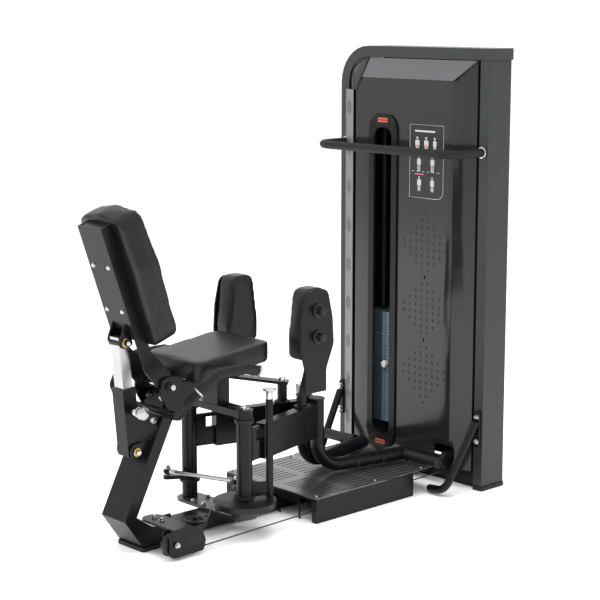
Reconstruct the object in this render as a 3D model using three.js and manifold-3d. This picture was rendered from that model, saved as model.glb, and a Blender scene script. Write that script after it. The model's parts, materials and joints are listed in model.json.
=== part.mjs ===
// Seated hip abductor machine with a weight stack tower.
// Millimetres, +Z up, +Y from the seat towards the tower, +X to the seated person's right.
// The origin is on the floor, under the middle of the tower's base beam.
import * as THREE from "three";
import { mergeVertices } from "three/addons/utils/BufferGeometryUtils.js";
import Module from "manifold-3d";

const wasm = await Module();
wasm.setup();

// ---- Driving dimensions ----
const GAP = 0.3; // air left between pieces that touch
const SHEET = 4; // folded sheet steel
const PLATE = 8; // laser cut plate

const TOWER = { height: 1550, halfWidth: 356.5, post: 40, halfDepth: 58, overhang: 8, corner: 135 };
const COVER = { halfWidth: 306, bottom: 64, top: 1507, front: -100, bevel: 72, topBevel: 68 };
const WINDOW = { left: -164, right: -26, bottom: 83, top: 1312, rim: 24, corner: 54 };
const STACK = { x: -98, halfWidth: 125, halfDepth: 48, bottom: 165, split: 374, top: 580 };
const DECK = { halfWidth: 228, back: -742, front: -158, skirtEnd: -272, top: 86 };
const BASE = { halfWidth: 40, top: 72 };
const PIVOT = { x: 140, y: -980, bottom: 119, top: 392, radius: 26, bore: 14, shaft: 12 };
const CAM = { radius: 104, bottom: 96, top: 115 };
const ARM = { footX: 32, footY: -553, height: 118, top: 350, thickness: 36 };
const FOOT_TUBE = { wide: 30, narrow: 22.5, capZ: 362, runZ: 117, endX: 103, endY: -194, bend: 95 };
const PEG = { radius: 19, outerX: 276, y: -202 };
const PAD = { inner: 148, outer: 213, y: -730, bottom: 553, top: 792, halfWidth: 71 };
const SEAT = { halfWidth: 143, back: -1168, front: -850, backZ: 588, frontZ: 624, thickness: 62 };
const REAR_POST = { halfWidth: 61, footY: -1405, footZ: 111, headY: -1216, headZ: 484 };
const BACKREST = { pivotY: -1226, pivotZ: 517, lean: 19, halfWidth: 134, padBack: 42, padFront: 124 };
const STRUT = { y: -1336, z: 320, topY: -1368, topZ: 673, halfWidth: 28, halfDepth: 25, sleeve: 205 };
const KNOB = { y: -1347, z: 455, pin: 6, radius: 22, bossEnd: 70 };
const GRIP_BAR = { radius: 14, y: -1258, z: 440, bendX: 146 };
const SELECTOR = { x: 170, y: -898, radius: 12.5, pin: 6 };
const ROD = { leftX: -177.5, leftY: -1045, rightX: 74.2, rightY: -956, z: 157, radius: 7 };
const WHEEL = { radius: 38, width: 20, groove: 6, rope: 36 };
const AXLE = 7;
const CABLE = 2.5;
const REAR_WHEEL = { x: 185, y: -1315, z: 53 };
const LOW_WHEEL = { x: 206, y: -66, z: 88 };
const GUIDE = { x: REAR_WHEEL.x - WHEEL.rope, y: -1196, z: REAR_WHEEL.z + WHEEL.rope };
const HIGH = {
  y: LOW_WHEEL.y + WHEEL.rope,
  z: 1440,
  rightX: LOW_WHEEL.x - WHEEL.rope,
  leftX: STACK.x + WHEEL.rope,
};
const BEAM_TOP = BASE.top - 16;

// ---- Materials ----
const paint = (color, roughness = 0.45) => new THREE.MeshStandardMaterial({ color, roughness, metalness: 0.4 });
const frameBlack = () => paint(0x2c2d2f);
const coverBlack = () => paint(0x2f3032, 0.2);
const leather = () => new THREE.MeshStandardMaterial({ color: 0x1b1b1c, roughness: 0.5, metalness: 0 });
const rubber = () => new THREE.MeshStandardMaterial({ color: 0x121213, roughness: 0.8, metalness: 0 });
const chrome = () => new THREE.MeshStandardMaterial({ color: 0xd8d9da, roughness: 0.15, metalness: 1 });
const plastic = (color) => new THREE.MeshStandardMaterial({ color, roughness: 0.5, metalness: 0 });

// ---- Shape helpers ----
const vector = (x, y, z) => new THREE.Vector3(x, y, z);
const radians = THREE.MathUtils.degToRad;

function box(x0, x1, y0, y1, z0, z1) {
  const geometry = new THREE.BoxGeometry(x1 - x0, y1 - y0, z1 - z0);
  return geometry.translate((x0 + x1) / 2, (y0 + y1) / 2, (z0 + z1) / 2);
}

// A round bar between two points.
function bar(from, to, radius, sides = 16) {
  const along = to.clone().sub(from);
  const geometry = new THREE.CylinderGeometry(radius, radius, along.length(), sides);
  const turn = new THREE.Quaternion().setFromUnitVectors(vector(0, 1, 0), along.clone().normalize());
  geometry.applyQuaternion(turn);
  const middle = from.clone().add(to).multiplyScalar(0.5);
  return geometry.translate(middle.x, middle.y, middle.z);
}

// A shape drawn in (y, z), thick along X.
function extrudeX(shape, x0, x1) {
  const geometry = new THREE.ExtrudeGeometry(shape, { depth: x1 - x0, bevelEnabled: false, curveSegments: 6 });
  const axes = new THREE.Matrix4().makeBasis(vector(0, 1, 0), vector(0, 0, 1), vector(1, 0, 0));
  return geometry.applyMatrix4(axes).translate(x0, 0, 0);
}

// A shape drawn in (x, z), thick along Y.
function extrudeY(shape, y0, y1) {
  const geometry = new THREE.ExtrudeGeometry(shape, { depth: y1 - y0, bevelEnabled: false, curveSegments: 6 });
  const axes = new THREE.Matrix4().makeBasis(vector(1, 0, 0), vector(0, 0, 1), vector(0, -1, 0));
  return geometry.applyMatrix4(axes).translate(0, y1, 0);
}

// A shape drawn in (x, y), thick along Z.
function extrudeZ(shape, z0, z1) {
  const geometry = new THREE.ExtrudeGeometry(shape, { depth: z1 - z0, bevelEnabled: false, curveSegments: 6 });
  return geometry.translate(0, 0, z0);
}

function polygon(points) {
  return new THREE.Shape(points.map(([u, v]) => new THREE.Vector2(u, v)));
}

// Pairs of weights that carry one end of an arc's radius round to the other end.
function arcWeights(turn, steps) {
  const weights = [];
  for (let k = 0; k <= steps; k += 1) {
    const passed = (turn * k) / steps;
    weights.push([Math.sin(turn - passed) / Math.sin(turn), Math.sin(passed) / Math.sin(turn)]);
  }
  return weights;
}

// A closed outline whose corners are rounded; each corner is [u, v, radius].
function roundedOutline(corners, steps = 5) {
  const points = [];
  corners.forEach(([u, v, radius], i) => {
    const at = new THREE.Vector2(u, v);
    if (!radius) {
      points.push(at);
      return;
    }
    const [pu, pv] = corners[(i + corners.length - 1) % corners.length];
    const [nu, nv] = corners[(i + 1) % corners.length];
    const back = new THREE.Vector2(pu, pv).sub(at).normalize();
    const on = new THREE.Vector2(nu, nv).sub(at).normalize();
    const half = Math.acos(THREE.MathUtils.clamp(back.dot(on), -1, 1)) / 2;
    const middle = back.clone().add(on).normalize();
    const centre = at.clone().addScaledVector(middle, radius / Math.sin(half));
    const from = at.clone().addScaledVector(back, radius / Math.tan(half)).sub(centre);
    const to = at.clone().addScaledVector(on, radius / Math.tan(half)).sub(centre);
    for (const [a, b] of arcWeights(Math.PI - 2 * half, steps)) {
      points.push(centre.clone().addScaledVector(from, a).addScaledVector(to, b));
    }
  });
  return new THREE.Shape(points);
}

function roundedRectangle(u0, u1, v0, v1, radius, steps = 5) {
  return roundedOutline(
    [
      [u0, v0, radius],
      [u1, v0, radius],
      [u1, v1, radius],
      [u0, v1, radius],
    ],
    steps,
  );
}

// A run of straight lines with round bends, stepped only where it turns.
// Where a sideways direction is given, it stays the section's first axis all the way along.
class BentPath extends THREE.Curve {
  constructor(stations, sideways = null) {
    super();
    this.stations = stations;
    this.sideways = sideways;
  }

  computeFrenetFrames(segments, closed) {
    if (!this.sideways) return super.computeFrenetFrames(segments, closed);
    const tangents = [];
    for (let i = 0; i <= segments; i += 1) tangents.push(this.getTangent(i / segments));
    const normals = tangents.map(() => this.sideways.clone());
    const binormals = tangents.map((tangent) => tangent.clone().cross(this.sideways).normalize());
    return { tangents, normals, binormals };
  }

  getUtoTmapping(u) {
    return u;
  }

  getPoint(t) {
    const last = this.stations.length - 1;
    const i = Math.min(Math.floor(t * last + 1e-6), last - 1);
    return this.stations[i].clone().lerp(this.stations[i + 1], t * last - i);
  }

  getTangent(t) {
    const last = this.stations.length - 1;
    const i = Math.round(t * last);
    const before = this.stations[Math.max(i - 1, 0)];
    const here = this.stations[i];
    const after = this.stations[Math.min(i + 1, last)];
    const tangent = here.clone().sub(before).normalize();
    return tangent.add(after.clone().sub(here).normalize()).normalize();
  }
}

function bentStations(points, radius, steps) {
  const stations = [points[0]];
  for (let i = 1; i < points.length - 1; i += 1) {
    const back = points[i - 1].clone().sub(points[i]).normalize();
    const on = points[i + 1].clone().sub(points[i]).normalize();
    const half = back.angleTo(on) / 2;
    const start = points[i].clone().addScaledVector(back, radius / Math.tan(half));
    const end = points[i].clone().addScaledVector(on, radius / Math.tan(half));
    const middle = back.clone().add(on).normalize();
    const centre = points[i].clone().addScaledVector(middle, radius / Math.sin(half));
    const from = start.clone().sub(centre);
    const to = end.clone().sub(centre);
    for (const [a, b] of arcWeights(Math.PI - 2 * half, steps)) {
      stations.push(centre.clone().addScaledVector(from, a).addScaledVector(to, b));
    }
  }
  stations.push(points[points.length - 1]);
  return stations;
}

function ovalSection(wide, narrow, sides) {
  const section = [];
  for (let k = 0; k < sides; k += 1) {
    const angle = (2 * Math.PI * k) / sides;
    section.push([wide * Math.cos(angle), narrow * Math.sin(angle)]);
  }
  return polygon(section);
}

function bentTube(points, radius, bend, sides = 14, steps = 6) {
  const stations = bentStations(points, bend, steps);
  return new THREE.ExtrudeGeometry(ovalSection(radius, radius, sides), {
    steps: stations.length - 1,
    bevelEnabled: false,
    extrudePath: new BentPath(stations),
  });
}

// A flattened tube whose wide way is square to the plane of its one bend.
function flatBentTube(points, wide, narrow, bend, sides, steps) {
  const [start, corner, end] = points;
  const sideways = corner.clone().sub(start).cross(end.clone().sub(corner)).normalize();
  const stations = bentStations(points, bend, steps);
  return new THREE.ExtrudeGeometry(ovalSection(wide, narrow, sides), {
    steps: stations.length - 1,
    bevelEnabled: false,
    extrudePath: new BentPath(stations, sideways),
  });
}

// ---- Joining and cutting ----
function solid(geometry) {
  if (geometry.isBufferGeometry !== true) return geometry;
  const bare = geometry.clone();
  bare.deleteAttribute("normal");
  bare.deleteAttribute("uv");
  const merged = mergeVertices(bare, 1e-3);
  const mesh = new wasm.Mesh({
    numProp: 3,
    vertProperties: new Float32Array(merged.attributes.position.array),
    triVerts: new Uint32Array(merged.index.array),
  });
  return new wasm.Manifold(mesh);
}

function geometryOf(manifold) {
  const mesh = manifold.getMesh();
  const geometry = new THREE.BufferGeometry();
  geometry.setAttribute("position", new THREE.BufferAttribute(new Float32Array(mesh.vertProperties), 3));
  geometry.setIndex(new THREE.BufferAttribute(new Uint32Array(mesh.triVerts), 1));
  geometry.computeVertexNormals();
  return geometry;
}

function join(...pieces) {
  return pieces.map(solid).reduce((sum, piece) => sum.add(piece));
}

function cut(body, ...tools) {
  return tools.map(solid).reduce((rest, tool) => rest.subtract(tool), solid(body));
}

// ---- The scene graph ----
const machine = new THREE.Group();
const leftSide = new THREE.Group(); // holds left-hand copies, drawn as right-hand ones
leftSide.scale.x = -1;
machine.add(leftSide);

function add(name, shape, material, side = machine) {
  const geometry = shape.isBufferGeometry ? shape : geometryOf(shape);
  const mesh = new THREE.Mesh(geometry, material);
  mesh.name = name;
  side.add(mesh);
}

// ---- Tower ----
function tower() {
  const { height, halfWidth, post, halfDepth, overhang, corner } = TOWER;
  const foot = 15;
  const arch = roundedOutline(
    [
      [-halfWidth, foot + GAP],
      [-halfWidth + post, foot + GAP],
      [-halfWidth + post, height - post, corner - post],
      [halfWidth + overhang, height - post],
      [halfWidth + overhang, height],
      [-halfWidth, height, corner],
    ],
    8,
  );
  add("tower_arch", extrudeY(arch, -halfDepth, halfDepth), frameBlack());
  const right = halfWidth - post;
  const postTop = height - post - GAP;
  add("tower_right_post", box(right, halfWidth, -halfDepth, halfDepth, foot + GAP, postTop), frameBlack());
  for (const [name, side] of [["right", 1], ["left", -1]]) {
    const inner = side * right;
    const outer = side * (halfWidth + 4);
    const ends = [Math.min(inner, outer), Math.max(inner, outer)];
    const shoe = roundedRectangle(...ends, -halfDepth - 4, halfDepth + 4, 6, 2);
    add(`tower_foot_${name}`, extrudeZ(shoe, 0, foot), rubber());
  }
  const inside = right - GAP;
  add("tower_base_beam", box(-inside, inside, -38, 42, 0, 60), frameBlack());
}

// ---- Covers ----
// A solid between two outlines with the same number of points, each in its own plane of constant Y.
function loft(backShape, backY, frontShape, frontY) {
  const back = backShape.getPoints();
  const front = frontShape.getPoints();
  const count = back.length;
  const points = [...back.map((p) => [p.x, backY, p.y]), ...front.map((p) => [p.x, frontY, p.y])];
  const faces = [];
  for (const [a, b, c] of THREE.ShapeUtils.triangulateShape(back, [])) {
    faces.push(a, c, b, count + a, count + b, count + c);
  }
  for (let i = 0; i < count; i += 1) {
    const next = (i + 1) % count;
    faces.push(i, next, count + i, next, count + next, count + i);
  }
  const geometry = new THREE.BufferGeometry();
  geometry.setAttribute("position", new THREE.Float32BufferAttribute(points.flat(), 3));
  geometry.setIndex(faces);
  return geometry;
}

// The cover's outline, with the one round corner that follows the bent frame.
function coverOutline(halfWidth, bottom, top, corner) {
  return roundedOutline(
    [
      [-halfWidth, bottom],
      [halfWidth, bottom],
      [halfWidth, top],
      [-halfWidth, top, corner],
    ],
    8,
  );
}

function covers() {
  const { halfWidth, bottom, top, front, bevel, topBevel } = COVER;
  const rim = -TOWER.halfDepth;
  const corner = TOWER.corner - TOWER.post - 6;
  const backing = coverOutline(halfWidth, bottom, top, corner);
  const face = coverOutline(halfWidth - bevel, bottom, top - topBevel, corner - 30);
  const roomBacking = coverOutline(halfWidth - 2 * SHEET, bottom - 10, top - 2 * SHEET, corner - 2 * SHEET);
  const roomFace = coverOutline(halfWidth - bevel - SHEET, bottom - 10, top - topBevel - SHEET, corner - 34);
  const outer = loft(backing, rim, face, front);
  const flange = extrudeY(backing, rim - 0.01, rim + 14);
  const inner = loft(roomBacking, rim, roomFace, front + SHEET);
  const room = extrudeY(roomBacking, rim - 1, rim + 20);
  const { left, right, rim: bezel } = WINDOW;
  const slot = roundedRectangle(left + bezel, right - bezel, WINDOW.bottom + 50, WINDOW.top - 46, 36, 4);
  const pulleyMouth = roundedRectangle(168, 254, 30, 150, 14, 3);
  const shell = cut(
    join(outer, flange),
    join(inner, room),
    extrudeY(slot, front - 20, front + 20),
    extrudeY(pulleyMouth, front - 20, rim + 30),
  );
  add("front_cover", shell, coverBlack());
  const back = 52;
  add("rear_cover", extrudeY(backing, back, back + SHEET), coverBlack());

  const plate = roundedRectangle(left, right, WINDOW.bottom, WINDOW.top, WINDOW.corner, 6);
  const opening = roundedRectangle(left + bezel + 2, right - bezel - 2, WINDOW.bottom + 52, WINDOW.top - 48, 34, 6);
  const lip = front - GAP;
  const trim = cut(extrudeY(plate, lip - 7, lip), extrudeY(opening, lip - 20, lip + 20));
  add("window_bezel", trim, plastic(0x202123));
}

function towerHandle() {
  const reach = -TOWER.halfDepth - GAP;
  const z = 1197;
  const front = -210;
  const endX = 330;
  const points = [vector(-endX, reach, z), vector(-endX, front, z), vector(endX, front, z), vector(endX, reach, z)];
  add("tower_handle", bentTube(points, 15, 62), rubber());
}

// ---- Weight stack ----
function weightStack() {
  const { x, halfWidth, halfDepth, bottom, split, top } = STACK;
  const rodX = 88;
  const rodRadius = 10;
  const hole = 13;
  const holes = [-rodX, rodX].map((dx) => bar(vector(x + dx, 0, 20), vector(x + dx, 0, 700), hole, 12));
  const block = (z0, z1) => box(x - halfWidth, x + halfWidth, -halfDepth, halfDepth, z0, z1);
  const pinX = x - 19;
  const pinZ = split + 13;
  const pinHole = box(pinX - 6, pinX + 6, -halfDepth - 1, -8, pinZ - 6, pinZ + 6);
  add("resting_plates", cut(block(bottom, split - GAP), ...holes), frameBlack());
  const socket = bar(vector(x, HIGH.y, top - 1), vector(x, HIGH.y, top + 40), 8, 12);
  add("lifted_plates", join(cut(block(split, top), ...holes, pinHole), socket), frameBlack());
  for (const [name, dx] of [["left", -rodX], ["right", rodX]]) {
    const rod = bar(vector(x + dx, 0, 60 + GAP), vector(x + dx, 0, 1510 - GAP), rodRadius, 12);
    add(`guide_rod_${name}`, rod, chrome());
  }
  const floor = 60 + GAP;
  const blocks = [-rodX, rodX].map((dx) => box(x + dx - 24, x + dx + 24, -22, 22, floor, bottom - GAP));
  const strip = box(x - rodX, x + rodX, -16, 16, floor, floor + 12);
  add("stack_buffer", cut(join(strip, ...blocks), ...holes), rubber());
  const face = -halfDepth - 1;
  const pin = join(
    bar(vector(pinX, -10, pinZ), vector(pinX, face - 6, pinZ), 4.5, 12),
    bar(vector(pinX, face, pinZ), vector(pinX, face - 26, pinZ), 14, 16),
  );
  add("selector_pin", pin, plastic(0xd8d8d6));
  const hang = [
    vector(pinX + 17, face - 14, pinZ - 2),
    vector(pinX + 34, face - 15, pinZ - 20),
    vector(pinX + 46, face - 9, pinZ + 40),
    vector(pinX + 40, face - 4, top - 70),
    vector(pinX + 22, face - 4, top - 14),
  ];
  const curve = new THREE.CatmullRomCurve3(hang);
  add("pin_tether", tether(curve), rubber());
}

function tether(curve) {
  return new THREE.ExtrudeGeometry(ovalSection(1.3, 1.3, 8), { steps: 30, bevelEnabled: false, extrudePath: curve });
}

// ---- Cable drive ----
// A grooved wheel whose axis is Y before it is turned.
function pulleyWheel() {
  const { radius, width, groove } = WHEEL;
  const half = width / 2;
  const bore = AXLE + 1;
  const profile = [
    [bore, -half],
    [radius, -half],
    [radius, -half + 2],
    [radius - groove, 0],
    [radius, half - 2],
    [radius, half],
    [bore, half],
    [bore, -half],
  ];
  return new THREE.LatheGeometry(profile.map(([r, y]) => new THREE.Vector2(r, y)), 24);
}

// Points round a wheel lying in a plane of constant X, from one angle to another, in degrees from +Y.
function wrapX(centre, from, to, steps) {
  const points = [];
  for (let k = 0; k <= steps; k += 1) {
    const angle = radians(from + ((to - from) * k) / steps);
    points.push(vector(centre.x, centre.y + WHEEL.rope * Math.cos(angle), centre.z + WHEEL.rope * Math.sin(angle)));
  }
  return points;
}

function cableTube(stations) {
  const section = ovalSection(CABLE, CABLE, 8);
  const steps = stations.length - 1;
  return new THREE.ExtrudeGeometry(section, { steps, bevelEnabled: false, extrudePath: new BentPath(stations) });
}

function cableDrive() {
  const across = () => pulleyWheel().rotateZ(Math.PI / 2);
  const wheelColour = 0x1c1c1e;
  add("rear_pulley", across().translate(REAR_WHEEL.x, REAR_WHEEL.y, REAR_WHEEL.z), plastic(wheelColour));
  add("guide_pulley", pulleyWheel().rotateX(Math.PI / 2).translate(GUIDE.x, GUIDE.y, GUIDE.z), plastic(wheelColour));
  add("lower_pulley", across().translate(LOW_WHEEL.x, LOW_WHEEL.y, LOW_WHEEL.z), plastic(wheelColour));
  add("upper_pulley_right", pulleyWheel().translate(HIGH.rightX, HIGH.y, HIGH.z), plastic(wheelColour));
  add("upper_pulley_left", pulleyWheel().translate(HIGH.leftX, HIGH.y, HIGH.z), plastic(wheelColour));

  // The cable leaves the cam on its inner side, crosses to the guide wheel's outer side, and turns rearwards.
  const camX = PIVOT.x - GUIDE.x;
  const camY = PIVOT.y - GUIDE.y;
  const camRope = CAM.radius + CABLE + 2 * GAP;
  const apart = Math.hypot(camX, camY);
  const heading = Math.atan2(-camY, -camX) + Math.asin((camRope + WHEEL.rope) / apart);
  const side = vector(Math.sin(heading), -Math.cos(heading), 0);
  const camLeave = vector(PIVOT.x, PIVOT.y, GUIDE.z).addScaledVector(side, camRope);
  const guideTurn = [];
  for (let k = 0; k <= 4; k += 1) {
    const angle = ((heading + Math.PI / 2) * (4 - k)) / 4;
    guideTurn.push(vector(GUIDE.x + WHEEL.rope * Math.cos(angle), GUIDE.y + WHEEL.rope * Math.sin(angle), GUIDE.z));
  }
  const run = [camLeave, ...guideTurn, ...wrapX(REAR_WHEEL, 90, 270, 10), ...wrapX(LOW_WHEEL, -90, 0, 6)];
  const climb = LOW_WHEEL.y + WHEEL.rope;
  const over = [];
  for (let k = 0; k <= 6; k += 1) {
    const angle = radians((90 * k) / 6);
    over.push(vector(HIGH.rightX + WHEEL.rope * Math.cos(angle), climb, HIGH.z + WHEEL.rope * Math.sin(angle)));
  }
  for (let k = 0; k <= 6; k += 1) {
    const angle = radians(90 + (90 * k) / 6);
    over.push(vector(HIGH.leftX + WHEEL.rope * Math.cos(angle), climb, HIGH.z + WHEEL.rope * Math.sin(angle)));
  }
  add("drive_cable", cableTube([...run, ...over]), rubber());
  const dropTop = HIGH.z - GAP;
  const socket = STACK.top + 40;
  add("stack_cable", cableTube([vector(STACK.x, climb, dropTop), vector(STACK.x, climb, socket + GAP)]), rubber());

  const plateZ = 96;
  const top = roundedOutline(
    [
      [22, -1326, 34],
      [202, -1326],
      [202, -1250],
      [22, -1250, 34],
    ],
    6,
  );
  const cheek = roundedOutline(
    [
      [-1354, 9, 40],
      [-1206, 12, 8],
      [-1196, 44, 6],
      [-1216, plateZ + 1, 6],
      [-1354, plateZ + 1, 30],
    ],
    5,
  );
  const cheekGap = WHEEL.width / 2 + 3;
  const right = cut(
    extrudeX(cheek, REAR_WHEEL.x + cheekGap, REAR_WHEEL.x + cheekGap + SHEET),
    box(REAR_WHEEL.x, REAR_WHEEL.x + 60, -1400, -1342, 0, 120),
  );
  const left = extrudeX(cheek, REAR_WHEEL.x - cheekGap - SHEET, REAR_WHEEL.x - cheekGap);
  const back = box(REAR_WHEEL.x - cheekGap - 1, REAR_WHEEL.x + cheekGap + 1, -1262, -1258, 50, 80);
  const axleFrom = vector(REAR_WHEEL.x - cheekGap - 6, REAR_WHEEL.y, REAR_WHEEL.z);
  const axleTo = vector(REAR_WHEEL.x + cheekGap + 9, REAR_WHEEL.y, REAR_WHEEL.z);
  const strap = box(BASE.halfWidth + GAP, BASE.halfWidth + 8, -1262, -1212, 14, plateZ + 1);
  const bracket = join(
    extrudeZ(top, plateZ, plateZ + PLATE - 2),
    cut(left, box(160, 180, -1400, -1342, 0, 120), box(160, 180, -1244, -1100, 0, 120)),
    right,
    back,
    bar(axleFrom, axleTo, AXLE, 12),
    strap,
    box(BASE.halfWidth + 1, 168, -1262, -1172, 66, 74),
    bar(vector(GUIDE.x, GUIDE.y, 73), vector(GUIDE.x, GUIDE.y, GUIDE.z + 16), AXLE, 12),
  );
  add("rear_pulley_bracket", bracket, frameBlack());
}

// ---- Base, deck and rear post ----
function base() {
  const post = [
    [-1336, 14],
    [-1268, 14],
    [-1268, 70],
    [-1300, 76],
    [-1358, 116],
    [-1170, REAR_POST.headZ],
    [REAR_POST.headY, REAR_POST.headZ],
    [REAR_POST.footY, REAR_POST.footZ],
  ];
  const { halfWidth } = REAR_POST;
  const lug = roundedOutline([[-1358, 300, 18], [-1290, 300], [-1262, 352], [-1358, 345, 18]], 4);
  const pivotHole = bar(vector(-60, STRUT.y, STRUT.z), vector(60, STRUT.y, STRUT.z), 9, 16);
  const lugX = STRUT.halfWidth + 6;
  const lugs = [1, -1].map((side) => extrudeX(lug, side * lugX - 4, side * lugX + 4));
  add("rear_post", join(extrudeX(polygon(post), -halfWidth, halfWidth), ...lugs.map((l) => cut(l, pivotHole))), frameBlack());
  add("rear_foot", extrudeZ(roundedRectangle(-66, 66, -1341, -1268, 6, 3), 0, 14 - GAP), rubber());
  const front = -38 - GAP;
  add("base_beam", box(-BASE.halfWidth, BASE.halfWidth, -1268 + GAP, front, 8, BASE.top - 16), frameBlack());
}

function deck() {
  const { halfWidth, back, front, skirtEnd, top } = DECK;
  const under = top - SHEET - GAP;
  const wall = (y) => box(-halfWidth + 1, halfWidth - 1, y, y + SHEET, 0.5, under);
  const sides = [-halfWidth, halfWidth - SHEET].map((x) => box(x, x + SHEET, back, skirtEnd, 0, under));
  const beamRoom = box(-BASE.halfWidth - 3, BASE.halfWidth + 3, back - 5, front, -1, BEAM_TOP + 3);
  const cableRoom = box(148, 206, back - 5, front, -1, 76);
  const rearMouth = [-1, 1].map((side) => {
    const inner = side * 50;
    const outer = side * 140;
    return box(Math.min(inner, outer), Math.max(inner, outer), back - 5, back + 5, -1, 52);
  });
  const walls = join(wall(back), wall(-500), wall(skirtEnd - SHEET));
  add("deck_box", join(...sides, cut(walls, beamRoom, cableRoom, ...rearMouth)), frameBlack());
  const outline = roundedOutline(
    [
      [-halfWidth, back, 5],
      [halfWidth, back, 5],
      [halfWidth, -371],
      [halfWidth - 8, front, 5],
      [-halfWidth + 8, front, 5],
      [-halfWidth, -371],
    ],
    2,
  );
  add("deck_plate", extrudeZ(outline, top - SHEET, top), paint(0x3a3b3d, 0.35));
}

function brace(side, name) {
  const rail = bentTube(
    [
      vector(338, -76, 252),
      vector(318, -208, 24),
      vector(236, -196, 15),
    ],
    14,
    40,
    12,
    5,
  );
  const plate = extrudeY(roundedRectangle(328, 350, 160, 292, 8, 3), -TOWER.halfDepth - 12, -TOWER.halfDepth - GAP);
  add(name, join(rail, plate), frameBlack(), side);
}

// ---- Pivots and seat frame ----
function pivotFrame() {
  const { x, y, top, shaft } = PIVOT;
  const lowTop = BEAM_TOP + 10;
  const lowPlate = extrudeZ(roundedRectangle(-178, 178, y - 48, y + 48, 44, 6), BEAM_TOP + GAP, lowTop);
  const hub = bar(vector(x, y, lowTop - 1), vector(x, y, CAM.bottom - GAP), 46, 24);
  const shafts = [x, -x].map((at) => bar(vector(at, y, lowTop - 1), vector(at, y, top), shaft, 16));
  add("pivot_base_plate", join(lowPlate, hub, ...shafts), frameBlack());
  const head = extrudeZ(roundedRectangle(-x - 30, x + 30, y - 28, y + 28, 26, 5), top + GAP, top + 24);
  const column = box(-38, 38, y - 26, y + 26, top + 23, 540);
  add("pivot_head_frame", join(head, column), frameBlack());
}

const seatSlope = (SEAT.frontZ - SEAT.backZ) / (SEAT.front - SEAT.back);

// The shear that tilts level pieces to the seat's rake, turning about the seat's back edge.
const seatRake = new THREE.Matrix4().set(1, 0, 0, 0, 0, 1, 0, 0, 0, seatSlope, 1, -seatSlope * SEAT.back, 0, 0, 0, 1);

function seat() {
  const { halfWidth, back, front, backZ, thickness } = SEAT;
  const outline = roundedOutline(
    [
      [-halfWidth, back, 36],
      [halfWidth, back, 36],
      [halfWidth + 2, front, 44],
      [-halfWidth - 2, front, 44],
    ],
    5,
  );
  const pad = extrudeZ(outline, backZ - thickness, backZ).applyMatrix4(seatRake);
  add("seat_pad", pad, leather());

  const under = backZ - thickness - GAP;
  const board = extrudeZ(roundedRectangle(-104, 104, back + 26, front - 34, 20, 4), under - 9, under).applyMatrix4(seatRake);
  const cheek = polygon([
    [-1262, 492],
    [-1258, 540],
    [-1235, 549],
    [-1182, 545],
    [-1173, 524],
    [-930, 551],
    [-925, 520],
    [-1120, 490],
    [-1165, 440],
    [-1185, 400],
    [-1222, 420],
  ]);
  const { pivotY, pivotZ } = BACKREST;
  const hingeHole = bar(vector(-90, pivotY, pivotZ), vector(90, pivotY, pivotZ), 10, 16);
  const inner = REAR_POST.halfWidth + GAP;
  const right = cut(extrudeX(cheek, inner, inner + PLATE), hingeHole);
  const left = cut(extrudeX(cheek, -inner - PLATE, -inner), hingeHole);
  const tie = box(-inner - 1, inner + 1, -1130, -1124, 498, 525);
  const columnRoom = box(-39, 39, PIVOT.y - 27, PIVOT.y + 27, 400, 541);
  add("seat_frame", cut(join(board, right, left, tie), columnRoom), frameBlack());
}

// ---- Backrest and its recline strut ----
// Places a piece drawn upright, with its back face on y = 0 and z = 0 at the plate's middle, on the lean.
const backrestPlace = new THREE.Matrix4()
  .makeTranslation(0, -1410, 855)
  .multiply(new THREE.Matrix4().makeRotationX(radians(BACKREST.lean)));

function backrest() {
  const { halfWidth, padBack, padFront, pivotY, pivotZ } = BACKREST;
  const outline = roundedOutline(
    [
      [-halfWidth + 14, -226, 46],
      [halfWidth - 14, -226, 46],
      [halfWidth, 40, 90],
      [108, 204, 40],
      [0, 222, 60],
      [-108, 204, 40],
      [-halfWidth, 40, 90],
    ],
    6,
  );
  add("backrest_pad", extrudeY(outline, padBack + GAP, padFront).applyMatrix4(backrestPlace), leather());

  const inside = 52;
  const plate = box(-60, 60, 0, 6, -154, 192);
  const flanges = [inside, -inside - PLATE].map((x) => box(x, x + PLATE, 0, padBack, -300, 192));
  const cheek = roundedOutline(
    [
      [1, -234],
      [40, -240, 12],
      [88, -340, 20],
      [86, -402, 20],
      [42, -402, 20],
      [1, -300, 10],
    ],
    4,
  );
  const cheeks = [inside, -inside - PLATE].map((x) => extrudeX(cheek, x, x + PLATE));
  const holeAt = vector(0, 64, -379.5);
  const hole = bar(vector(-70, holeAt.y, holeAt.z), vector(70, holeAt.y, holeAt.z), 10, 16);
  const barAt = new THREE.Vector3(0, STRUT.topY, STRUT.topZ).applyMatrix4(backrestPlace.clone().invert());
  const lug = roundedOutline(
    [
      [5, barAt.z - 20, 10],
      [5, -128],
      [0.5, -128],
      [barAt.y - 17, barAt.z + 15, 10],
      [barAt.y - 17, barAt.z - 15, 10],
    ],
    4,
  );
  const lugs = [28, -34].map((x) => extrudeX(lug, x, x + 6));
  const crossbar = bar(vector(-48, barAt.y, barAt.z), vector(48, barAt.y, barAt.z), 11, 16);
  const bracket = join(plate, ...flanges, ...cheeks.map((c) => cut(c, hole)), ...lugs, crossbar);
  add("backrest_bracket", geometryOf(bracket).applyMatrix4(backrestPlace), frameBlack());

  const outer = REAR_POST.halfWidth + PLATE + 12;
  add("backrest_hinge_bolt", bar(vector(-outer, pivotY, pivotZ), vector(outer, pivotY, pivotZ), 9, 16), chrome());
}

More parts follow.
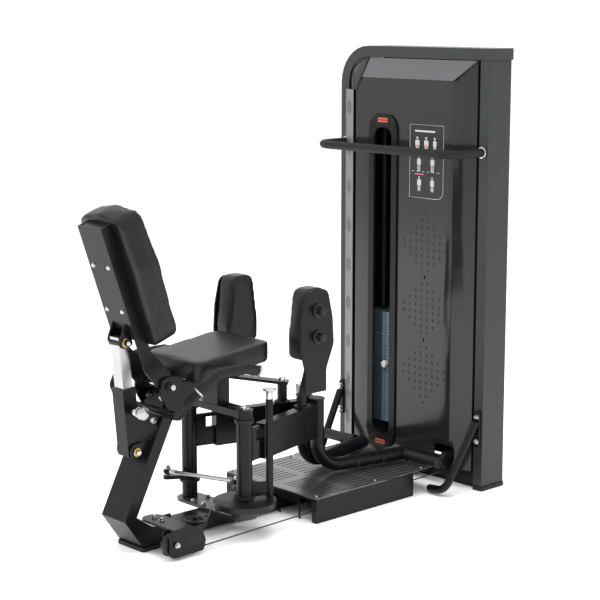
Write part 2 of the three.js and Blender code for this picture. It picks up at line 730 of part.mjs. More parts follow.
function strut() {
  const { halfWidth, halfDepth, sleeve } = STRUT;
  const foot = vector(0, STRUT.y, STRUT.z);
  const head = vector(0, STRUT.topY, STRUT.topZ);
  const length = head.distanceTo(foot);
  const lean = Math.atan2(STRUT.y - STRUT.topY, STRUT.topZ - STRUT.z);
  const place = new THREE.Matrix4()
    .makeTranslation(foot.x, foot.y, foot.z)
    .multiply(new THREE.Matrix4().makeRotationX(lean));
  const bore = box(-halfWidth + 5, halfWidth - 5, -halfDepth + 6, halfDepth - 6, 30, sleeve + 10);
  const pin = bar(vector(-48, 0, 0), vector(48, 0, 0), 8, 16);
  const outer = join(cut(box(-halfWidth, halfWidth, -halfDepth, halfDepth, -13, sleeve), bore), pin);
  const { y, z, pin: pinRadius, radius, bossEnd } = KNOB;
  const boss = cut(
    bar(vector(halfWidth - 3, y, z), vector(bossEnd, y, z), radius - 8, 20),
    bar(vector(halfWidth - 9, y, z), vector(bossEnd + 4, y, z), pinRadius + 1, 16),
  );
  add("strut_sleeve", join(geometryOf(outer).applyMatrix4(place), boss), frameBlack());
  const eye = bar(vector(-40, 0, length), vector(40, 0, length), 13, 20);
  const inner = cut(box(-halfWidth + 6, halfWidth - 6, -halfDepth + 7, halfDepth - 7, 60, length + 17), eye);
  add("strut_bar", geometryOf(inner).applyMatrix4(place), chrome());

  const out = bossEnd + GAP;
  const knob = join(
    bar(vector(halfWidth + 1, y, z), vector(out + 2, y, z), pinRadius, 12),
    bar(vector(out, y, z), vector(out + 12, y, z), 12, 20),
    bar(vector(out + 11, y, z), vector(out + 26, y, z), radius, 24),
  );
  add("recline_knob", knob, chrome());
}

function handGrip(side, name) {
  const { radius, y, z, bendX } = GRIP_BAR;
  const { footY, footZ, headY, headZ } = REAR_POST;
  const ringAt = vector(205, -1221, 521);
  const elbow = vector(188, -1255, 486);
  const tube = bentTube([vector(GAP, y, z), vector(bendX, y, z), elbow, ringAt], radius, 24, 12, 4);
  const slope = Math.atan2(headY - footY, headZ - footZ);
  const faceY = footY + (headY - footY) * ((z - footZ) / (headZ - footZ));
  const flange = box(GAP, 48, -6.5, -GAP, -52, 48).rotateX(-slope).translate(0, faceY, z);
  add(`grip_arm_${name}`, join(tube, flange), frameBlack(), side);
  const along = ringAt.clone().sub(elbow).normalize();
  const start = ringAt.clone().addScaledVector(along, 1);
  const onward = ringAt.clone().addScaledVector(along, 26);
  const run = [start, onward, vector(208, -1140, 568), vector(207, -1030, 568), vector(207, -988, 556)];
  const grip = bentTube(run, 17, 30, 12, 4);
  add(`hand_grip_${name}`, grip, rubber(), side);
}

// ---- Swing arms ----
const beamFrom = vector(PIVOT.x, PIVOT.y, 0);
const beamTo = vector(ARM.footX, ARM.footY, 0);
const beamLength = beamTo.distanceTo(beamFrom);

// Places a piece drawn with its length along +Y from the origin on the arm's own line.
const armPlace = new THREE.Matrix4()
  .makeTranslation(PIVOT.x, PIVOT.y, 0)
  .multiply(new THREE.Matrix4().makeRotationZ(Math.atan2(PIVOT.x - ARM.footX, ARM.footY - PIVOT.y)));

function lever(pin, bottom) {
  const offset = pin.clone().sub(vector(PIVOT.x, PIVOT.y, 0));
  const reach = Math.hypot(offset.x, offset.y);
  const turn = Math.atan2(offset.y, offset.x) - Math.PI / 2;
  const plate = extrudeZ(roundedRectangle(-15, 15, 0, reach + 15, 14, 4), bottom, ROD.z - 14);
  return plate.rotateZ(turn).translate(PIVOT.x, PIVOT.y, 0);
}

function swingArm(side, name, tubeBottom, leverPin) {
  const { x, y, top, radius, bore } = PIVOT;
  const { height, top: beamTop, thickness } = ARM;
  const tube = bar(vector(x, y, tubeBottom), vector(x, y, top), radius, 24);
  const web = box(-6, 6, 0, 100, beamTop - height + 4, beamTop - 4);
  const webHole = box(-30, 30, 60, 93, beamTop - 52, beamTop - 16);
  const beam = box(-thickness / 2, thickness / 2, 92, beamLength - 10, beamTop - height, beamTop);
  const { wide, narrow, capZ, runZ, endX, endY, bend } = FOOT_TUBE;
  const footBore = extrudeZ(ovalSection(wide + GAP, narrow + GAP, 20), 100, 400)
    .rotateZ(-Math.atan2(endX - ARM.footX, endY - ARM.footY))
    .translate(ARM.footX, ARM.footY, 0);
  const placed = geometryOf(join(cut(web, webHole), beam)).applyMatrix4(armPlace);
  const shaftRoom = bar(vector(x, y, 0), vector(x, y, 500), bore, 16);
  const arm = cut(join(tube, placed, lever(leverPin, ROD.z - 26)), shaftRoom, footBore);
  add(`${name}_arm_beam`, arm, frameBlack(), side);

  const foot = flatBentTube(
    [vector(ARM.footX, ARM.footY, capZ), vector(ARM.footX, ARM.footY, runZ), vector(endX, endY, runZ)],
    wide,
    narrow,
    bend,
    20,
    8,
  );
  add(`${name}_foot_tube`, foot, frameBlack(), side);
  const peg = bar(vector(endX + wide + 4, PEG.y, runZ), vector(PEG.outerX, PEG.y, runZ), PEG.radius, 16);
  add(`${name}_foot_peg`, peg, rubber(), side);
  padBracket(side, name);
}

function padBracket(side, name) {
  const { inner, outer, y, bottom, top, halfWidth } = PAD;
  const plateIn = outer + GAP;
  const neck = 47;
  const neckY = y - 6;
  const paddle = roundedOutline(
    [
      [neckY - neck, 445],
      [neckY + neck, 445],
      [neckY + neck, 520, 60],
      [y + halfWidth + 4, 600, 60],
      [y + halfWidth - 2, 690, 120],
      [y + 46, top - 6, 30],
      [y - 46, top - 6, 30],
      [y - halfWidth + 2, 690, 120],
      [y - halfWidth - 4, 600, 60],
      [neckY - neck, 520, 60],
    ],
    4,
  );
  const gusset = extrudeY(polygon([[plateIn - 30, 439], [plateIn + 1, 439], [plateIn + 1, 539]]), neckY - neck, neckY - neck + 6);
  const postAt = vector(50, -640, 0);
  const post = bar(vector(postAt.x, postAt.y, ARM.top + GAP), vector(postAt.x, postAt.y, 424), 17, 16);
  const reachTo = vector(plateIn - 16, neckY - neck + 12, 0);
  const reach = reachTo.distanceTo(postAt);
  const turn = Math.atan2(postAt.x - reachTo.x, reachTo.y - postAt.y);
  const link = extrudeX(polygon([[-22, 416], [0, 416], [reach, 436], [reach, 446], [0, 426], [-22, 426]]), -22, 22)
    .rotateZ(turn)
    .translate(postAt.x, postAt.y, 0);
  const bracket = cut(
    join(extrudeX(paddle, plateIn, plateIn + 6), gusset, post, link),
    box(plateIn + 6, plateIn + 60, y - 200, y + 200, 400, 470),
  );
  add(`${name}_pad_bracket`, bracket, frameBlack(), side);

  const cushion = roundedOutline(
    [
      [y - halfWidth + 4, bottom, 26],
      [y + halfWidth - 4, bottom, 26],
      [y + halfWidth, 627, 60],
      [y + 47, top, 34],
      [y - 47, top, 34],
      [y - halfWidth, 627, 60],
    ],
    5,
  );
  add(`${name}_pad`, extrudeX(cushion, inner, outer), leather(), side);
}

function camAndRod() {
  const { x, y, shaft } = PIVOT;
  const disc = bar(vector(x, y, CAM.bottom), vector(x, y, CAM.top), CAM.radius, 36);
  add("right_cam", cut(disc, bar(vector(x, y, 0), vector(x, y, 300), shaft + 1, 16)), frameBlack());

  const postAt = vector(SELECTOR.x, SELECTOR.y, 0);
  const bracket = box(-6, 6, PIVOT.radius + GAP, 80, PIVOT.bottom + 4, 168);
  const away = Math.atan2(x - postAt.x, postAt.y - y);
  const wall = bracket.rotateZ(away).translate(x, y, 0);
  const tube = bar(vector(postAt.x, postAt.y, CAM.top + 2), vector(postAt.x, postAt.y, 442), SELECTOR.radius, 16);
  const room = bar(vector(postAt.x, postAt.y, 0), vector(postAt.x, postAt.y, 500), SELECTOR.pin + 1, 12);
  add("selector_post", cut(join(tube, wall), room), frameBlack());
  const pin = join(
    bar(vector(postAt.x, postAt.y, CAM.top + GAP), vector(postAt.x, postAt.y, 450), SELECTOR.pin, 12),
    bar(vector(postAt.x, postAt.y, 442 + GAP), vector(postAt.x, postAt.y, 470), 11, 16),
    bar(vector(postAt.x, postAt.y, 469), vector(postAt.x, postAt.y, 478), 19, 20),
  );
  add("selector_pull_pin", pin, chrome());

  const { leftX, leftY, rightX, rightY, z, radius } = ROD;
  const ends = [vector(leftX, leftY, z), vector(rightX, rightY, z)];
  const bolts = ends.map((p) => bar(vector(p.x, p.y, z - 14 + GAP), vector(p.x, p.y, z + 22), 8, 12));
  const eyes = ends.map((p) => bar(vector(p.x, p.y, z - 9), vector(p.x, p.y, z + 9), 14, 16));
  add("link_rod", join(bar(ends[0], ends[1], radius, 14), ...bolts, ...eyes), chrome());
}

tower();
covers();
towerHandle();
weightStack();
cableDrive();
base();
deck();
brace(machine, "brace_right");
brace(leftSide, "brace_left");
pivotFrame();
seat();
backrest();
strut();
handGrip(machine, "right");
handGrip(leftSide, "left");
swingArm(machine, "right", PIVOT.bottom, vector(ROD.rightX, ROD.rightY, 0));
swingArm(leftSide, "left", BEAM_TOP + 11, vector(-ROD.leftX, ROD.leftY, 0));
camAndRod();

export default machine;
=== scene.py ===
import json
import math

import bmesh
import bpy
from mathutils import Matrix, Vector


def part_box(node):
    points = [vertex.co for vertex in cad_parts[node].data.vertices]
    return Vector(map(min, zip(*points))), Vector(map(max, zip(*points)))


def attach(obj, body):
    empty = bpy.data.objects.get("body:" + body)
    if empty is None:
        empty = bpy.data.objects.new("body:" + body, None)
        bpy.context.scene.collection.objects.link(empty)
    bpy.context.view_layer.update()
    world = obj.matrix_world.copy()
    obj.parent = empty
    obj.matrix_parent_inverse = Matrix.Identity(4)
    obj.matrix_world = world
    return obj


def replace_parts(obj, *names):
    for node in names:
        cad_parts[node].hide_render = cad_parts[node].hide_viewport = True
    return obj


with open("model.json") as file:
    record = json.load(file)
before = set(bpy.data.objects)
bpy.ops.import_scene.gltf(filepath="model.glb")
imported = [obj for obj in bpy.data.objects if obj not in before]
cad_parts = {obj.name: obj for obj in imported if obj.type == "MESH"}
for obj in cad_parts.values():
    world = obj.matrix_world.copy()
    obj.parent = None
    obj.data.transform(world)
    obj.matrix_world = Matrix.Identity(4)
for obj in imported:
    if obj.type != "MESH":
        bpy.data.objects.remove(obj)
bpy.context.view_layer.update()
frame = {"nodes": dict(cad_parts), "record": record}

MM = 0.001
BODY = {node: body for body, nodes in frame["record"]["behaviour"]["bodies"].items() for node in nodes}
SLOT = {part["node"]: part["material_slot"] for part in frame["record"]["subparts"]}


def span(node):
    """A CAD node's lowest and highest corners, in millimetres."""
    low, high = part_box(node)
    return low / MM, high / MM


# ---- Materials ----
def finish(name, colour, rough, metal=0.0, spread=0.12, patch=25.0, grain=900.0, relief=0.0, depth=0.0002,
           coat=0.0, specular=0.5, edge=0.0, cells=0.0):
    """A finish with uneven colour and gloss, a fine relief, and rounded-looking edges where edge is given."""
    made = bpy.data.materials.new(name)
    made.use_nodes = True
    nodes, links = made.node_tree.nodes, made.node_tree.links
    shader = nodes["Principled BSDF"]
    shader.inputs["Metallic"].default_value = metal
    shader.inputs["Coat Weight"].default_value = coat
    shader.inputs["Coat Roughness"].default_value = 0.06
    shader.inputs["Specular IOR Level"].default_value = specular
    where = nodes.new("ShaderNodeTexCoord")
    patches = nodes.new("ShaderNodeTexNoise")
    patches.inputs["Scale"].default_value = patch
    patches.inputs["Detail"].default_value = 6
    links.new(where.outputs["Object"], patches.inputs["Vector"])
    tint = nodes.new("ShaderNodeValToRGB")
    tint.color_ramp.elements[0].position = 0.3
    tint.color_ramp.elements[1].position = 0.7
    tint.color_ramp.elements[0].color = [c * (1 - spread) for c in colour] + [1]
    tint.color_ramp.elements[1].color = [c * (1 + spread) for c in colour] + [1]
    links.new(patches.outputs["Fac"], tint.inputs["Fac"])
    links.new(tint.outputs["Color"], shader.inputs["Base Color"])
    gloss = nodes.new("ShaderNodeMapRange")
    gloss.inputs["To Min"].default_value = max(rough * 0.85, 0.02)
    gloss.inputs["To Max"].default_value = rough * 1.15
    links.new(patches.outputs["Fac"], gloss.inputs["Value"])
    links.new(gloss.outputs["Result"], shader.inputs["Roughness"])
    fine = nodes.new("ShaderNodeTexVoronoi" if cells else "ShaderNodeTexNoise")
    fine.inputs["Scale"].default_value = cells or grain
    links.new(where.outputs["Object"], fine.inputs["Vector"])
    bump = nodes.new("ShaderNodeBump")
    bump.inputs["Strength"].default_value = relief
    bump.inputs["Distance"].default_value = depth
    links.new(fine.outputs["Distance" if cells else "Fac"], bump.inputs["Height"])
    if edge:
        rounded = nodes.new("ShaderNodeBevel")
        rounded.samples = 4
        rounded.inputs["Radius"].default_value = edge
        links.new(rounded.outputs["Normal"], bump.inputs["Normal"])
    links.new(bump.outputs["Normal"], shader.inputs["Normal"])
    return made


TOWER = finish("tower_paint", (0.021, 0.0215, 0.022), 0.36, specular=0.35, spread=0.06, relief=0.12,
               depth=0.0001, edge=0.0015)
BLACK = finish("frame_paint", (0.0045, 0.0045, 0.005), 0.28, specular=0.2, spread=0.10, relief=0.12,
               depth=0.0001, edge=0.001)
DARK = finish("hollow_black", (0.004, 0.004, 0.004), 0.6, spread=0.2, relief=0.1)
COVER = finish("cover_gloss", (0.010, 0.010, 0.0105), 0.15, spread=0.05, patch=4, relief=0.02, grain=60,
               depth=0.0004, coat=0.1, specular=0.4)
# The cover's gloss black, painted lighter for the sloped top panel: a painted reflection.
BEVEL = finish("cover_bevel_painted_reflection", (0.065, 0.065, 0.067), 0.42, specular=0.3, spread=0.05, patch=4, relief=0.03)
# The cover's left bevel, painted lighter than the cover's gloss black: a painted reflection at its grazing
# angle.
STRIP_PAINTED_REFLECTION = finish("vent_strip_painted_reflection", (0.11, 0.11, 0.113), 0.42, specular=0.35, spread=0.05, relief=0.05)
LEATHER = finish("upholstery", (0.0045, 0.0045, 0.0045), 0.34, specular=0.3, spread=0.12, patch=12, cells=700,
                 relief=0.18, depth=0.0003)
FOAM = finish("foam", (0.006, 0.006, 0.006), 0.6, specular=0.3, spread=0.2, grain=1400, relief=0.35,
              depth=0.0003)
RUBBER = finish("rubber", (0.006, 0.006, 0.0065), 0.5, specular=0.3, spread=0.15, grain=1200, relief=0.25,
                depth=0.0002)
CHROME = finish("chrome", (0.52, 0.52, 0.53), 0.11, metal=1.0, spread=0.03, relief=0.02)
STEEL = finish("bright_bar", (0.42, 0.42, 0.43), 0.22, metal=1.0, spread=0.05, relief=0.05)
BRASS = finish("bushing", (0.42, 0.30, 0.09), 0.32, metal=1.0, spread=0.12, relief=0.08)
PLATES = finish("weight_plates", (0.075, 0.095, 0.115), 0.42, spread=0.12, relief=0.3, grain=500)
LABEL = finish("number_strip", (0.30, 0.38, 0.45), 0.45, spread=0.06, relief=0.05)
NYLON = finish("nylon", (0.007, 0.007, 0.0075), 0.38, specular=0.3, spread=0.12, relief=0.1)
CABLE = finish("cable", (0.015, 0.015, 0.015), 0.35, spread=0.1, grain=700, relief=0.3)
WHITE = finish("white_print", (0.40, 0.41, 0.42), 0.5, spread=0.04, relief=0.03)
GREY = finish("grey_print", (0.36, 0.37, 0.38), 0.5, spread=0.10, relief=0.03)
ORANGE = finish("orange_label", (0.42, 0.07, 0.035), 0.5, spread=0.10, relief=0.03)
PINK = finish("pink_print", (0.72, 0.12, 0.14), 0.5, spread=0.06, relief=0.03)
KNOB_WHITE = finish("pin_knob", (0.62, 0.62, 0.60), 0.35, spread=0.04, relief=0.02)
DECK = finish("deck_sheet", (0.16, 0.16, 0.165), 0.30, metal=0.75, spread=0.12, relief=0.15, grain=700)
PLACARD = finish("placard_sheet", (0.016, 0.016, 0.017), 0.3, specular=0.3, spread=0.06, relief=0.02)
BRACKET = finish("plated_bracket", (0.035, 0.035, 0.037), 0.33, metal=0.4, spread=0.12, relief=0.1,
                 edge=0.001)
SLOT_FINISH = {
    "tower_paint": TOWER, "frame_paint": BLACK, "cover": COVER, "upholstery": LEATHER, "rubber": RUBBER,
    "chrome": CHROME, "plates": PLATES, "wheel": NYLON, "cable": CABLE, "bracket": BRACKET,
}


# ---- Making meshes ----
X_AXIS, Z_AXIS = (1, 0, 0), (0, 0, 1)
TO_SEAT = (0, -1, 0)  # out of the tower's front face


class Shape:
    """Collects closed surfaces drawn in millimetres, and turns them into one piece."""

    def __init__(self):
        self.bm = bmesh.new()

    def ring_faces(self, rings, closed=False):
        pairs = list(zip(rings, rings[1:]))
        if closed:
            pairs.append((rings[-1], rings[0]))
        for a, b in pairs:
            n = max(len(a), len(b))
            for i in range(n):
                j = (i + 1) % n
                corners = [a[i % len(a)], a[j % len(a)], b[j % len(b)], b[i % len(b)]]
                corners = list(dict.fromkeys(corners))
                if len(corners) > 2:
                    self.bm.faces.new(corners)
        if not closed:
            for ring in (rings[0], rings[-1]):
                if len(ring) > 2:
                    self.bm.faces.new(ring)

    def lathe(self, at, axis, profile, sides=24):
        turn = Vector(axis).to_track_quat("Z", "Y").to_matrix().to_4x4()
        place = Matrix.Translation(Vector(at)) @ turn
        rings = []
        for radius, height in profile:
            count = sides if radius > 1e-6 else 1
            turns = [2 * math.pi * k / sides for k in range(count)]
            ring = [Vector((radius * math.cos(turned), radius * math.sin(turned), height)) for turned in turns]
            rings.append([self.bm.verts.new(place @ point) for point in ring])
        self.ring_faces(rings)
        return self

    def hexagon(self, at, axis, across, height):
        r = across / math.sqrt(3)
        profile = [(0, 0), (r, 0), (r, height * 0.85), (r * 0.86, height), (0, height)]
        return self.lathe(at, axis, profile, sides=6)

    def prism(self, outline, at, right, up, depth):
        """An outline in the plane of right and up, pushed depth along right x up."""
        right, up = Vector(right).normalized(), Vector(up).normalized()
        out = right.cross(up)
        rings = [
            [self.bm.verts.new(Vector(at) + right * u + up * v + out * d) for u, v in outline]
            for d in (0, depth)
        ]
        self.ring_faces(rings)
        return self

    def front(self, outline, y, depth):
        """An outline in X and Z, standing depth out of a plane of constant Y, towards the seat."""
        return self.prism(outline, (0, y, 0), X_AXIS, Z_AXIS, depth)

    def skin(self, corners, shift, near, far):
        """A thin plate over corners, from near to far times shift off them."""
        move = Vector(shift)
        self.ring_faces([[self.bm.verts.new(Vector(c) + move * d) for c in corners] for d in (near, far)])
        return self

    def sweep(self, path, wide, narrow=None, sides=16, up=(0, 0, 1), closed=False):
        """A tube along points, wide across and narrow along up."""
        narrow = wide if narrow is None else narrow
        points = [Vector(p) for p in path]
        rings = []
        side = None
        for i, p in enumerate(points):
            before = points[i - 1] if i or closed else p
            after = points[(i + 1) % len(points)] if i + 1 < len(points) or closed else p
            along = (after - before).normalized()
            if side is None:
                side = along.cross(Vector(up)).normalized()
            side = (side - along * side.dot(along)).normalized()
            over = side.cross(along)
            rings.append([
                self.bm.verts.new(p + side * (wide * math.cos(2 * math.pi * k / sides))
                                  + over * (narrow * math.sin(2 * math.pi * k / sides)))
                for k in range(sides)
            ])
        self.ring_faces(rings, closed)
        return self

    def block(self, low, high):
        outline = [(low[0], low[1]), (high[0], low[1]), (high[0], high[1]), (low[0], high[1])]
        return self.prism(outline, (0, 0, low[2]), (1, 0, 0), (0, 1, 0), high[2] - low[2])

    def done(self, name, body, material, slot, bevel=0.0, sharp=35.0, place=None):
        bmesh.ops.recalc_face_normals(self.bm, faces=self.bm.faces)
        self.bm.transform(Matrix.Scale(MM, 4))
        if place is not None:
            self.bm.transform(place)
        for face in self.bm.faces:
            face.smooth = True
        for edge in self.bm.edges:
            if len(edge.link_faces) == 2 and edge.calc_face_angle(0) > math.radians(sharp):
                edge.smooth = False
        mesh = bpy.data.meshes.new(name)
        self.bm.to_mesh(mesh)
        self.bm.free()
        return settle(name, mesh, body, material, bevel)


def settle(name, mesh, body, material, bevel=0.0):
    piece = bpy.data.objects.new(name, mesh)
    bpy.context.collection.objects.link(piece)
    mesh.materials.clear()
    mesh.materials.append(material)
    if bevel:
        rounding = piece.modifiers.new("rounding", "BEVEL")
        rounding.width = bevel * MM
        rounding.segments = 2
        rounding.limit_method = "ANGLE"
        rounding.angle_limit = math.radians(40)
        rounding.harden_normals = True
    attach(piece, body)
    return piece


def rounded(u0, u1, v0, v1, radius, steps=5):
    """A rectangle with round corners, as a list of points."""
    points = []
    for cu, cv, start in ((u1 - radius, v0 + radius, -90), (u1 - radius, v1 - radius, 0),
                          (u0 + radius, v1 - radius, 90), (u0 + radius, v0 + radius, 180)):
        for k in range(steps + 1):
            angle = math.radians(start + 90 * k / steps)
            points.append((cu + radius * math.cos(angle), cv + radius * math.sin(angle)))
    return points


def dome(radius, height):
    steps = ((0, 0), (1, 0), (1, 0.35), (0.86, 0.72), (0.5, 0.95), (0, 1))
    return [(radius * across, height * up) for across, up in steps]


def washer(radius, thick, chamfer=0.6):
    inner, over = radius - chamfer, thick - chamfer
    return [(0, 0), (inner, 0), (radius, chamfer), (radius, over), (inner, thick), (0, thick)]


def sleeve(bore, *steps):
    """A ring's profile: its bore, and the (radius, height) steps of its outside, going up."""
    return [(bore, steps[0][1]), *steps, (bore, steps[-1][1]), (bore, steps[0][1])]


def bolts(name, body, places, radius=9.0, material=CHROME, slot="chrome"):
    """Hex bolts with washers. Each place is a point on the surface and the way the head points."""
    shape = Shape()
    for at, axis in places:
        out = Vector(axis).normalized()
        shape.lathe(at, axis, washer(radius * 1.15, 2.2))
        shape.hexagon(Vector(at) + out * 2.0, axis, radius * 1.55, radius * 0.75)
        shape.lathe(Vector(at) + out * (2.0 + radius * 0.7), axis, dome(radius * 0.55, 2.5), 16)
    return shape.done(name, body, material, slot)


# ---- Kept CAD nodes: better materials, rounded edges and smooth tubes ----
def dress(node, material=None, width=1.2, angle=32):
    """Gives a kept CAD node its finish, flat faces, rounded edges and smooth tubes."""
    thing = frame["nodes"][node]
    mesh = thing.data
    mesh.materials.clear()
    mesh.materials.append(material or SLOT_FINISH[SLOT[node]])
    if "custom_normal" in mesh.attributes:
        mesh.attributes.remove(mesh.attributes["custom_normal"])
    mesh.shade_smooth()
    weld = thing.modifiers.new("weld", "WELD")
    weld.merge_threshold = 0.00002
    planar = thing.modifiers.new("planar", "DECIMATE")
    planar.decimate_type = "DISSOLVE"
    planar.angle_limit = math.radians(1.5)
    rounding = thing.modifiers.new("rounding", "BEVEL")
    rounding.width = width * MM
    rounding.segments = 2
    rounding.limit_method = "ANGLE"
    rounding.angle_limit = math.radians(angle)
    rounding.use_clamp_overlap = True
    weigh = thing.modifiers.new("weigh", "WEIGHTED_NORMAL")
    weigh.keep_sharp = True
    return thing


REPLACED = {
    "seat_pad", "backrest_pad", "right_pad", "left_pad", "resting_plates", "lifted_plates", "selector_pin",
    "rear_pulley", "guide_pulley", "lower_pulley", "upper_pulley_right", "upper_pulley_left", "recline_knob",
    "selector_pull_pin", "link_rod",
}
SPECIAL = {
    "guide_rod_left": DARK, "guide_rod_right": DARK, "deck_plate": DECK, "tower_handle": FOAM,
    "hand_grip_right": FOAM, "hand_grip_left": FOAM, "strut_bar": STEEL,
}
for node in frame["nodes"]:
    if node not in REPLACED:
        dress(node, SPECIAL.get(node))


# ---- Cushions ----
VOXEL = 0.005
PRESSURE = 4.0
CLOTH_STIFFNESS = 40
LAST_FRAME = 20
SPREADING_ROUNDS = 24


def cushion(name, node, inset, cap, mirror=False):
    """Blows up a slightly smaller copy of a CAD pad as cloth, keeping each point within cap of its start."""
    source = frame["nodes"][node].data
    shape = bmesh.new()
    shape.from_mesh(source)
    bmesh.ops.remove_doubles(shape, verts=shape.verts, dist=0.00002)
    if mirror:
        shape.transform(Matrix.Scale(-1, 4, (1, 0, 0)))
    low = Vector(min(v.co[i] for v in shape.verts) for i in range(3))
    high = Vector(max(v.co[i] for v in shape.verts) for i in range(3))
    middle = (low + high) / 2
    for v in shape.verts:
        v.co = Vector(
            middle[i] + (v.co[i] - middle[i]) * (1 - 2 * inset[i] * MM / (high[i] - low[i])) for i in range(3)
        )
    bmesh.ops.recalc_face_normals(shape, faces=shape.faces)
    mesh = bpy.data.meshes.new(name)
    shape.to_mesh(mesh)
    shape.free()
    thing = bpy.data.objects.new(name, mesh)
    bpy.context.collection.objects.link(thing)
    remesh = thing.modifiers.new("remesh", "REMESH")
    remesh.mode = "VOXEL"
    remesh.voxel_size = VOXEL
    soften = thing.modifiers.new("soften", "SMOOTH")
    soften.iterations = 5
    soften.factor = 0.5
    bake(thing)
    rest = [v.co.copy() for v in thing.data.vertices]
    cloth = thing.modifiers.new("cloth", "CLOTH")
    cloth.settings.use_pressure = True
    cloth.settings.uniform_pressure_force = PRESSURE
    cloth.settings.effector_weights.gravity = 0
    cloth.settings.tension_stiffness = CLOTH_STIFFNESS
    cloth.settings.compression_stiffness = CLOTH_STIFFNESS
    cloth.settings.bending_stiffness = 12
    for step in range(1, LAST_FRAME + 1):
        bpy.context.scene.frame_set(step)
    bake(thing)
    bpy.context.scene.frame_set(1)
    swell(thing.data, rest, cap * MM)
    even = thing.modifiers.new("even", "SMOOTH")
    even.iterations = 3
    finer = thing.modifiers.new("finer", "SUBSURF")
    finer.levels = finer.render_levels = 1
    bake(thing)
    thing.data.shade_smooth()
    thing.data.materials.clear()
    thing.data.materials.append(LEATHER)
    return thing


def swell(mesh, rest, limit):
    """Spreads each point's move from rest over its neighbours, so that the skin stays taut, and caps it."""
    moves = [v.co - start for v, start in zip(mesh.vertices, rest)]
    beside = [[] for _ in rest]
    for edge in mesh.edges:
        a, b = edge.vertices
        beside[a].append(b)
        beside[b].append(a)
    for _ in range(SPREADING_ROUNDS):
        moves = [
            sum((moves[j] for j in near), move * len(near)) / (2 * len(near))
            for move, near in zip(moves, beside)
        ]
    for v, start, move in zip(mesh.vertices, rest, moves):
        if move.length > limit:
            move = move.normalized() * limit
        v.co = start + move


def bake(thing):
    """Replaces a piece's mesh by what its modifiers make of it."""
    graph = bpy.context.evaluated_depsgraph_get()
    made = bpy.data.meshes.new_from_object(thing.evaluated_get(graph))
    thing.modifiers.clear()
    thing.data = made


def place_cushion(thing, node):
    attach(thing, BODY[node])
    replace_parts(thing, node)


place_cushion(cushion("seat_cushion", "seat_pad", (1.5, 1.5, 2), 4), "seat_pad")
place_cushion(cushion("backrest_cushion", "backrest_pad", (1.5, 1.5, 1), 4), "backrest_pad")
place_cushion(cushion("right_thigh_cushion", "right_pad", (2, 1, 1), 4), "right_pad")
place_cushion(cushion("left_thigh_cushion", "right_pad", (2, 1, 1), 4, mirror=True), "left_pad")

# ---- Tower ----
FACE = span("front_cover")[0].y
RIM = -58  # the front plane of the tower's posts


def cover_details():
    """The vent strip down the left and the sloped top panel, both lighter than the cover by painted reflection,
    the dark corner, and three clusters of slots.
    """
    low, high = span("front_cover")
    face_left, face_right, face_top = low.x + 72, high.x - 72, high.z - 68
    strip_from = Vector((low.x - 22, low.y + 40, 0))
    strip_top = 1392
    # The left bevel's vent strip, lighter by painted reflection.
    strip = Shape()
    across = Vector((78, -40.3, 0))
    outline = [(0, low.z), (across.length, low.z), (across.length, strip_top), (0, strip_top)]
    strip.prism(outline, strip_from, across, Z_AXIS, 2)
    strip.done("vent_strip_painted_reflection", "frame", STRIP_PAINTED_REFLECTION, "cover", bevel=0.8)
    holes = Shape()
    along = across.normalized()
    surface = strip_from + along.cross(Vector(Z_AXIS)) * 1.9
    for group in range(9):
        centre = low.z + 95 + group * 146
        for column in range(-2, 3):
            count = 4 - abs(column)
            for row in range(count):
                u = 42 + column * 11
                v = centre + (row - (count - 1) / 2) * 15
                holes.prism(rounded(u - 2.6, u + 2.6, v - 5.5, v + 5.5, 2, 2), surface, along, Z_AXIS, 0.5)
    holes.done("vent_slots", "frame", DARK, "cover")

    # The sloped panel along the top, lighter than the cover by a painted reflection, and the dark corner beside
    # it.
    panel = Shape()
    corners = [(face_left + 24, FACE, face_top), (face_right, FACE, face_top), (high.x, RIM, high.z),
               (low.x + 95, RIM, high.z)]
    panel.skin(corners, Vector((0, 0.36, 0.48)) - Vector((0, 0.6, 0)), 0.2, 1)
    panel.done("top_panel", "frame", BEVEL, "cover")
    corner = Shape()
    corners = [(face_left - 34, FACE + 18, face_top - 48), (face_left, FACE, face_top - 50),
               (face_left + 26, FACE, face_top), (low.x + 97, RIM, high.z), (low.x + 40, RIM, high.z - 14),
               (low.x + 12, RIM, high.z - 60)]
    corner.skin(corners, (-0.3, -0.7, 0.6), 1, 6)
    corner.done("cover_corner", "frame", DARK, "cover")
    seam = Shape()
    seam.sweep([(face_right, FACE - 0.6, face_top), (high.x, RIM - 0.8, high.z)], 8, 1.5, sides=8)
    seam.sweep([(high.x + 1, RIM - 1, high.z), (high.x + 1, RIM - 1, low.z + 20)], 2, 1.2, sides=8)
    seam.done("cover_seams", "frame", DARK, "cover")

    slots = Shape()
    middle, pitch = 110, 28
    for centre in (857, 629, 400):
        for column in range(-4, 4):
            x = middle + pitch / 2 + column * pitch
            count = int(8 - 2 * (abs(column + 0.5) - 0.5))
            for row in range(count):
                z = centre + (row - (count - 1) / 2) * 25.5
                slots.front(rounded(x - 3, x + 3, z - 6, z + 6, 2.4, 3), FACE - 0.05, 0.35)
        for z in (centre - 114, centre + 114):
            slots.front(rounded(middle - 3, middle + 3, z - 6, z + 6, 2.4, 3), FACE - 0.05, 0.35)
    slots.done("cover_slots", "frame", DARK, "cover")
    # The dark back of the lower pulley's mouth.
    mouth = Shape()
    mouth.block((160, 4, 62), (262, 6, 156))
    mouth.done("pulley_box_back", "frame", DARK, "cover")


